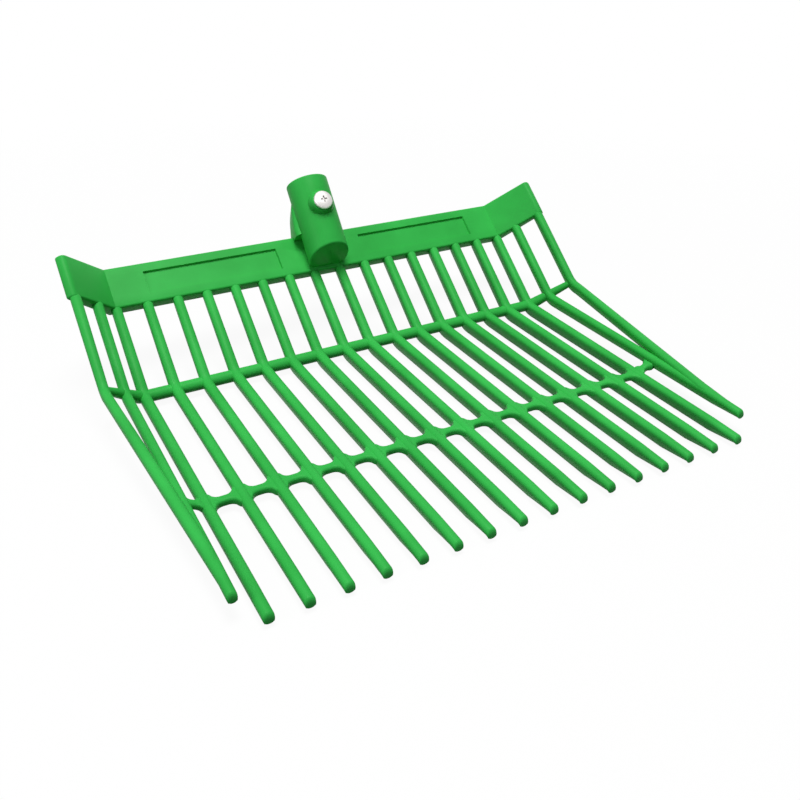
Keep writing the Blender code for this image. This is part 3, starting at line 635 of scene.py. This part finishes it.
ontoSocket = (Matrix.Translation(onSlope(0, socket["mouthAlong"], mouthMiddle))
              @ Matrix.Rotation(socket["angle"] - math.pi / 2, 4, "X"))
ontoScrew = (ontoSocket @ Matrix.Translation((0, 0, -socket["screwBelowMouth"]))
             @ Matrix.Rotation(math.pi / 2, 4, "X"))


def makeNeck():
    # a block on the header's edge, drawn up in two steps that lean back with the tube
    widths, rises, backs = socket["neckHalfWidths"], socket["neckRises"], socket["neckBacks"]
    starts = [head["headerEnd"] + rise for rise in rises]
    fronts = [socket["footNormal"] + socket["neckFront"] + (start - socket["footAlong"]) * math.tan(lean)
              for start in starts]
    foot = socket["neckFoot"]
    piece = begin("neck", bpy.ops.mesh.primitive_cube_add, size=1,
                  location=(0, starts[0] + foot / 2, (backs[0] + fronts[0]) / 2),
                  scale=(2 * widths[0], foot, fronts[0] - backs[0]))
    here = starts[0] + foot
    for k in (1, 2):
        there = starts[k]
        pick("FACE", lambda f: abs(middle(f).y - here) < tiny)
        extrude((0, there - here, 0))
        resize((widths[k] / widths[k - 1], 1, 1), (0, there, 0))
        middleNormal = (backs[k - 1] + fronts[k - 1]) / 2
        pick("VERT", lambda v: abs(v.co.y - there) < tiny and v.co.z > middleNormal)
        bpy.ops.transform.translate(value=(0, 0, fronts[k] - fronts[k - 1]))
        pick("VERT", lambda v: abs(v.co.y - there) < tiny and v.co.z < middleNormal)
        bpy.ops.transform.translate(value=(0, 0, backs[k] - backs[k - 1]))
        here = there
    for k, frontWidth in enumerate(socket["neckFrontHalfWidths"]):
        pick("VERT", lambda v: abs(v.co.y - starts[k]) < 1.5 * foot and v.co.z > (backs[k] + fronts[k]) / 2)
        resize((frontWidth / widths[k], 1, 1), (0, starts[k], 0))
    pick("EDGE", lambda e: abs(middle(e).y - head["headerEnd"] - rises[1]) < tiny)
    bpy.ops.mesh.bevel(offset=socket["neckKnee"], segments=4)
    pick("VERT", lambda v: v.co.y < starts[0] + tiny and v.co.z > backs[0] + tiny)
    bpy.ops.transform.translate(value=(0, -socket["neckSkirt"], 0))
    pick("EDGE", lambda e: sharp(e, 0.7)  # the edges that run up it
         and abs(e.verts[0].co.y - e.verts[1].co.y) > 0.7 * e.calc_length())
    bpy.ops.mesh.bevel(offset=socket["neckCorner"], segments=4)
    leaveEditing()
    place(piece, ontoSlope)
    return piece


def makeSocket():
    radius, bore = socket["radius"], socket["bore"]
    tube = cylinder("handleSocket", radius, -tubeLength - radius, 0)
    pick("FACE", lambda f: True)
    bpy.ops.mesh.bisect(plane_co=(0, radius, -tubeLength - radius * math.tan(lean)),
                        plane_no=(0, math.sin(footLean), math.cos(footLean)), use_fill=True,
                        clear_inner=True)
    pick("EDGE", lambda e: sharp(e) and middle(e).z < -tubeLength / 2)
    bpy.ops.mesh.bevel(offset=socket["footEdge"], segments=3)
    leaveEditing()
    place(tube, ontoSocket)
    combine(tube, makeNeck(), "UNION")

    shoulder, top = socket["screwSeat"] - socket["screwBossFlare"], socket["screwSeat"]
    boss = cylinder("screwBoss", socket["screwBoss"], radius / 2, shoulder, sides=48)
    pick("FACE", lambda f: f.normal.z > 0.9)
    extrude((0, 0, top - shoulder))
    share = socket["screwBossTop"] / socket["screwBoss"]
    resize((share, share, 1), (0, 0, top))
    pick("EDGE", lambda e: middle(e).z > top - tiny)
    bpy.ops.mesh.bevel(offset=socket["bossEdge"], segments=3)
    fit(tube, boss, ontoScrew, "UNION")
    boss = cylinder("nutBoss", socket["nutBoss"], -socket["nutBossEnd"], -radius / 2, sides=48)
    pick("EDGE", lambda e: sharp(e) and middle(e).z < -radius)
    bpy.ops.mesh.bevel(offset=socket["bossEdge"], segments=3)
    fit(tube, boss, ontoScrew, "UNION")

    fit(tube, cylinder("inside", bore, -boreDepth, radius), ontoSocket, "DIFFERENCE")
    hole = cylinder("hole", socket["screwHole"], -socket["nutBossEnd"] - past,
                    socket["screwSeat"] + past, sides=32)
    fit(tube, hole, ontoScrew, "DIFFERENCE")
    seatRadius = nut["acrossFlats"] / math.sqrt(3) + socket["gap"]
    pocket = cylinder("pocket", seatRadius, -socket["nutBossEnd"] - past, -socket["nutSeat"], sides=6)
    fit(tube, pocket, ontoScrew @ Matrix.Rotation(math.pi / 6, 4, "Z"), "DIFFERENCE")

    useOnly(tube)
    bpy.ops.object.mode_set(mode="EDIT")
    intoSocket = ontoSocket.inverted()
    pick("EDGE", lambda e: all(abs((intoSocket @ v.co).z) < tiny for v in e.verts))
    bpy.ops.mesh.bevel(offset=socket["rim"], segments=4)
    leaveEditing()
    finish(tube, "head", ["socket"], green, smoothUpTo=40)


# Screw: pan head with a cross recess, shaft, and a thread wound round it

screw = {
    "radius": 3.0 * mm,
    "core": 2.55 * mm,
    "end": -25.0 * mm,  # from the socket's middle line
    "endHeight": 1.0 * mm,
    "endShare": 0.7,
    "pitch": 1.0 * mm,
    "ridge": 0.5 * mm,  # radius of the thread's three-sided section
    "threadStart": 1.4 * mm,  # up from the end
    "threadTurns": 38,
    "headRadius": 7.4 * mm,
    "headHeight": 3.0 * mm,
    "sideShare": 0.3,  # of the head's height, below its dome
    "domeTurns": (20, 40, 55, 63),  # degrees up the dome, and at the last its flat top starts
    "recessLength": 6.6 * mm,
    "recessWidth": 1.6 * mm,
    "recessDepth": 1.3 * mm,
    "recessFoot": 0.6,  # its size at the bottom, as a share
}


def makeScrew():
    wide, tall, seat = screw["headRadius"], screw["headHeight"], socket["screwSeat"] + socket["gap"]
    side = tall * screw["sideShare"]
    piece = cylinder("crossScrew", wide, seat, seat + side, sides=48)
    last = Vector((wide, seat + side))
    lastSine = math.sin(math.radians(screw["domeTurns"][-1]))
    for turn in screw["domeTurns"]:
        angle = math.radians(turn)
        there = Vector((wide * math.cos(angle), seat + side + (tall - side) * math.sin(angle) / lastSine))
        pick("FACE", lambda f: abs(middle(f).z - last.y) < tiny and f.normal.z > 0.9)
        extrude((0, 0, there.y - last.y))
        resize((there.x / last.x, there.x / last.x, 1), (0, 0, 0))
        last = there
    pick("FACE", lambda f: abs(middle(f).z - seat) < tiny)
    bpy.ops.mesh.inset(thickness=wide - screw["core"])
    extrude((0, 0, screw["end"] + screw["endHeight"] - seat))
    extrude((0, 0, -screw["endHeight"]))
    resize((screw["endShare"], screw["endShare"], 1), (0, 0, 0))
    leaveEditing()

    cross = begin("cross", bpy.ops.mesh.primitive_cube_add, size=1, location=(0, 0, seat + tall),
                  scale=(screw["recessLength"], screw["recessWidth"], 2 * screw["recessDepth"]))
    pick("VERT", lambda v: v.co.z < seat + tall)
    resize((screw["recessFoot"], screw["recessFoot"], 1), (0, 0, 0))
    leaveEditing()
    otherWay = copied(cross, "crossTurned")
    place(otherWay, Matrix.Rotation(math.pi / 2, 4, "Z"))
    for arm in (cross, otherWay):
        combine(piece, arm, "DIFFERENCE")

    thread = begin("thread", bpy.ops.mesh.primitive_circle_add, vertices=3, fill_type="NOTHING",
                   radius=screw["ridge"], rotation=(math.pi / 2, math.pi / 2, 0),
                   location=(screw["radius"] - screw["ridge"], 0, screw["end"] + screw["threadStart"]))
    bpy.ops.object.mode_set(mode="OBJECT")
    modify(thread, "SCREW", screw_offset=screw["pitch"], iterations=screw["threadTurns"],
           steps=24, render_steps=24)
    bpy.ops.object.mode_set(mode="EDIT")
    bpy.ops.mesh.select_all(action="SELECT")
    bpy.ops.mesh.fill_holes(sides=3)
    leaveEditing()
    piece.select_set(True)
    bpy.context.view_layer.objects.active = piece
    bpy.ops.object.join()
    place(piece, ontoScrew)
    finish(piece, "screw", ["screw"], steel)


# Nut: a hexagon with its corners turned off at both ends, and a hole

nut = {
    "acrossFlats": 10.0 * mm,
    "height": 5.0 * mm,
    "chamfer": 0.8 * mm,
    "turnedSpare": 0.4 * mm,  # the turned shape stands out this far, so that only its slopes cut
    "holeSpare": 0.2 * mm,
}


def makeNut():
    high = -socket["nutSeat"] - socket["gap"]
    low = high - nut["height"]
    radius = nut["acrossFlats"] / math.sqrt(3)
    piece = cylinder("hexNut", radius, low, high, sides=6)
    leaveEditing()
    place(piece, Matrix.Rotation(math.pi / 6, 4, "Z"))
    spare = nut["turnedSpare"]
    turned = cylinder("turned", radius + spare, low - spare, high + spare, sides=48)
    pick("EDGE", sharp)
    bpy.ops.mesh.bevel(offset=nut["chamfer"] + 2 * spare, segments=1)
    fit(piece, turned, Matrix.Rotation(math.pi / 48, 4, "Z"), "INTERSECT")
    hole = cylinder("hole", screw["radius"] + nut["holeSpare"], low - past, high + past, sides=32)
    fit(piece, hole, Matrix.Identity(4), "DIFFERENCE")
    bpy.ops.object.mode_set(mode="EDIT")
    leaveEditing()
    place(piece, ontoScrew)
    finish(piece, "nut", ["nut"], steel, smoothUpTo=25)


makeHeader()
makeSocket()
makeScrew()
makeNut()
print("header, socket, screw and nut modelled")


# Crossbars: a round one under the necks, and a slim webbed one let into the tines' runs

upperBar = {
    "sides": 20,
    "radius": 4.45 * mm,
    "endRadius": 2.6 * mm,
    "along": 0.2 * mm,  # up the slope from the bend
    "drop": 1.4 * mm,  # below the necks' middle lines
    "foldRadius": 7.0 * mm,
    "foldSteps": 5,
}
lowerBar = {
    "reach": 130.8 * mm,
    "width": 5.6 * mm,
    "height": 5.5 * mm,
    "belowCrest": 1.1 * mm,  # its top, below the tines' crests
    "web": 5.5 * mm,  # radius in plan where the bar meets a tine
    "edge": 1.9 * mm,
    "stubDrop": 2.0 * mm,  # how far below the wing tine's middle line an end stub stops
    "stubWeb": 2.4 * mm,
    "steps": 22,  # cuts along one bay
}


def makeUpperBar():
    drop, radius = upperBar["drop"], upperBar["foldRadius"]
    tangent = radius * math.tan(head["fold"] / 2)
    cornerX = head["foldX"] + drop * mitre
    piece = begin("upperBar", bpy.ops.mesh.primitive_circle_add, vertices=upperBar["sides"],
                  radius=upperBar["radius"], fill_type="NOTHING",
                  location=(0, upperBar["along"], -drop), rotation=(0, math.pi / 2, 0))
    pick("EDGE", lambda e: True)
    extrude((cornerX - tangent, 0, 0))
    bpy.ops.mesh.spin(steps=upperBar["foldSteps"], dupli=False, angle=head["fold"], axis=(0, 1, 0),
                      center=(cornerX - tangent, 0, radius - drop))
    endX, endNormal = onWing(edgeTine["distance"], -drop)
    end = Vector((endX, upperBar["along"], endNormal))
    bendEnd = Vector((cornerX, upperBar["along"], -drop)) + wingOut * tangent
    extrude(end - bendEnd)
    share = upperBar["endRadius"] / upperBar["radius"]
    resize((share, share, share), end)
    bpy.ops.mesh.edge_face_add()
    bpy.ops.object.mode_set(mode="OBJECT")
    modify(piece, "MIRROR", merge_threshold=tiny)
    bpy.ops.object.mode_set(mode="EDIT")
    leaveEditing()
    place(piece, ontoSlope)
    finish(piece, "head", ["crossbar_upper"], green)


def webOut(x, flank, radius):
    # how far the bar's side stands out at x from a bay's middle, near a tine's flank
    inset = min(max(flank - abs(x), 0), radius)
    return radius - math.sqrt(radius ** 2 - (radius - inset) ** 2)


def makeBay(name, left, right, rise, flank, web):
    # one stretch of the bar between two tines' middles, widened towards each of them by web
    at = onRun(0, lowerBar["reach"], head["crown"] - lowerBar["belowCrest"] - lowerBar["height"] / 2)
    piece = begin(name, bpy.ops.mesh.primitive_cube_add, size=1,
                  location=((left + right) / 2, at.y, at.z),
                  scale=(right - left, lowerBar["width"], lowerBar["height"]))
    pick("EDGE", lambda e: abs(e.verts[0].co.x - e.verts[1].co.x) > tiny)
    bpy.ops.mesh.subdivide(number_cuts=lowerBar["steps"] - 1)
    for step in range(lowerBar["steps"] + 1):
        x = left + (right - left) * step / lowerBar["steps"]
        fromMiddle = x - (left + right) / 2
        pick("VERT", lambda v: abs(v.co.x - x) < tiny)
        resize((1, 1 + 2 * webOut(fromMiddle, flank, web) / lowerBar["width"], 1), (x, at.y, at.z))
        bpy.ops.transform.translate(value=(0, 0, rise * step / lowerBar["steps"]))
    pick("FACE", lambda f: abs(f.normal.x) > 0.99)
    bpy.ops.mesh.delete(type="ONLY_FACE")
    pick("EDGE", sharp)
    bpy.ops.mesh.bevel(offset=lowerBar["edge"], segments=4)
    bpy.ops.object.mode_set(mode="OBJECT")
    return piece


def makeLowerBar():
    lastX = (head["centreTines"] - 1) / 2 * head["pitch"]
    flank = head["pitch"] / 2 - tine["halfWidth"]
    bar = makeBay("lowerBar", -lastX, -lastX + head["pitch"], 0, flank, lowerBar["web"])
    modify(bar, "ARRAY", count=head["centreTines"] - 1, use_relative_offset=False,
           use_constant_offset=True, constant_offset_displace=(head["pitch"], 0, 0),
           use_merge_vertices=True, merge_threshold=tiny)
    wingX = onWing(wingTine["distance"])[0]
    half = (wingX - lastX) / 2
    stub = makeBay("stub", lastX, wingX, wingTine["rise"] - lowerBar["stubDrop"],
                   half - tine["halfWidth"], lowerBar["stubWeb"])
    bpy.ops.object.mode_set(mode="EDIT")
    leaveEditing()
    other = copied(stub, "stubLeft", mirrored=True)
    useOnly(bar)
    stub.select_set(True)
    other.select_set(True)
    bpy.ops.object.join()
    bpy.ops.object.mode_set(mode="EDIT")
    bpy.ops.mesh.select_all(action="SELECT")
    bpy.ops.mesh.fill_holes(sides=40)
    leaveEditing()
    finish(bar, "head", ["crossbar_lower"], green, smoothUpTo=50)


makeUpperBar()
makeLowerBar()
print("crossbars modelled")


# Camera, floor and light

view = {
    "eye": (-259.01 * mm, -439.71 * mm, 309.18 * mm),
    "azimuth": math.radians(30.288),
    "elevation": math.radians(30.472),
    "roll": math.radians(1.623),
    "lens": 37.116,
    "sensor": 36.0,
    "shift": (0.0061, -0.0233),
}


def makeCamera():
    camera = bpy.data.objects.new("camera", bpy.data.cameras.new("camera"))
    bpy.context.scene.collection.objects.link(camera)
    camera.matrix_world = (Matrix.Translation(view["eye"])
                           @ Matrix.Rotation(-view["azimuth"], 4, "Z")
                           @ Matrix.Rotation(math.pi / 2 - view["elevation"], 4, "X")
                           @ Matrix.Rotation(view["roll"], 4, "Z"))
    camera.data.lens = view["lens"]
    camera.data.sensor_width = view["sensor"]
    camera.data.shift_x, camera.data.shift_y = view["shift"]
    camera.data.clip_start = 10 * mm
    bpy.context.scene.camera = camera


light = {
    "keyPlace": (-0.1, -0.1, 2.2),  # metres, and watts for the powers
    "keySize": 1.0,
    "keyPower": 42.0,
    "fillPlace": (-1.7, -0.4, 1.0),
    "fillSize": 0.7,
    "fillPower": 7.0,
    "surround": 0.11,
    "floor": "F8F8F8",
    "floorUnseen": "484848",  # what the floor sends back up onto the object
    "floorGlow": 0.94,
    "fadeStart": 0.35,  # metres out from the head, where the sheet starts to fade out to white
    "fadeEnd": 0.9,
}


def makeLight(name, where, size, power):
    lamp = bpy.data.objects.new(name, bpy.data.lights.new(name, "AREA"))
    bpy.context.scene.collection.objects.link(lamp)
    lamp.location = where
    lamp.rotation_euler = Vector(where).to_track_quat("Z", "Y").to_euler()  # aimed at the origin
    lamp.data.size = size
    lamp.data.energy = power


def seenDirectly(tree):
    # 1 where the picture, a shiny surface or clear material shows the surroundings, otherwise 0
    path = addNode(tree, "ShaderNodeLightPath", {}).outputs
    seen = path["Is Camera Ray"]
    for other in (path["Is Glossy Ray"], path["Is Transmission Ray"]):
        seen = addNode(tree, "ShaderNodeMath", {0: seen, 1: other}, operation="MAXIMUM").outputs[0]
    return seen


def whitePaper():
    # A white sheet that fades out to white in the picture, and keeps a soft shadow
    material, tree, shader = newMaterial("white_paper")
    seen = seenDirectly(tree)
    tone = addNode(tree, "ShaderNodeValToRGB", {"Fac": seen})
    tone.color_ramp.elements[0].color = toLinear(light["floorUnseen"])
    tone.color_ramp.elements[1].color = toLinear(light["floor"])
    tree.links.new(tone.outputs["Color"], shader.inputs["Base Color"])
    shader.inputs["Roughness"].default_value = 0.9
    glow = addNode(tree, "ShaderNodeEmission", {"Strength": 1.0})
    where = addNode(tree, "ShaderNodeTexCoord", {}).outputs["Object"]
    away = addNode(tree, "ShaderNodeVectorMath", {0: where}, operation="LENGTH")
    fading = addNode(tree, "ShaderNodeMapRange", {"Value": away.outputs["Value"],
                                                  "From Min": light["fadeStart"],
                                                  "From Max": light["fadeEnd"],
                                                  "To Min": light["floorGlow"], "To Max": 1.0})
    share = addNode(tree, "ShaderNodeMath", {0: seen, 1: fading.outputs["Result"]}, operation="MULTIPLY")
    mixed = addNode(tree, "ShaderNodeMixShader", {0: share.outputs[0], 1: shader.outputs[0],
                                                  2: glow.outputs[0]})
    tree.links.new(mixed.outputs[0], tree.nodes["Material Output"].inputs["Surface"])
    return material


def makeStage():
    bpy.ops.object.select_all(action="DESELECT")
    bpy.ops.mesh.primitive_plane_add(size=30)
    floor = bpy.context.active_object
    floor.name = "floor"
    floor.data.materials.append(whitePaper())
    world = bpy.data.worlds.new("studio")
    bpy.context.scene.world = world
    world.use_nodes = True
    tree = world.node_tree
    strength = addNode(tree, "ShaderNodeMapRange", {"Value": seenDirectly(tree),
                                                    "To Min": light["surround"], "To Max": 1.0})
    tree.nodes["Background"].inputs["Color"].default_value = (1, 1, 1, 1)
    tree.links.new(strength.outputs["Result"], tree.nodes["Background"].inputs["Strength"])
    makeLight("key", light["keyPlace"], light["keySize"], light["keyPower"])
    makeLight("fill", light["fillPlace"], light["fillSize"], light["fillPower"])
    bpy.context.scene.view_settings.view_transform = "Standard"


makeCamera()
makeStage()
print("camera, floor and light ready")
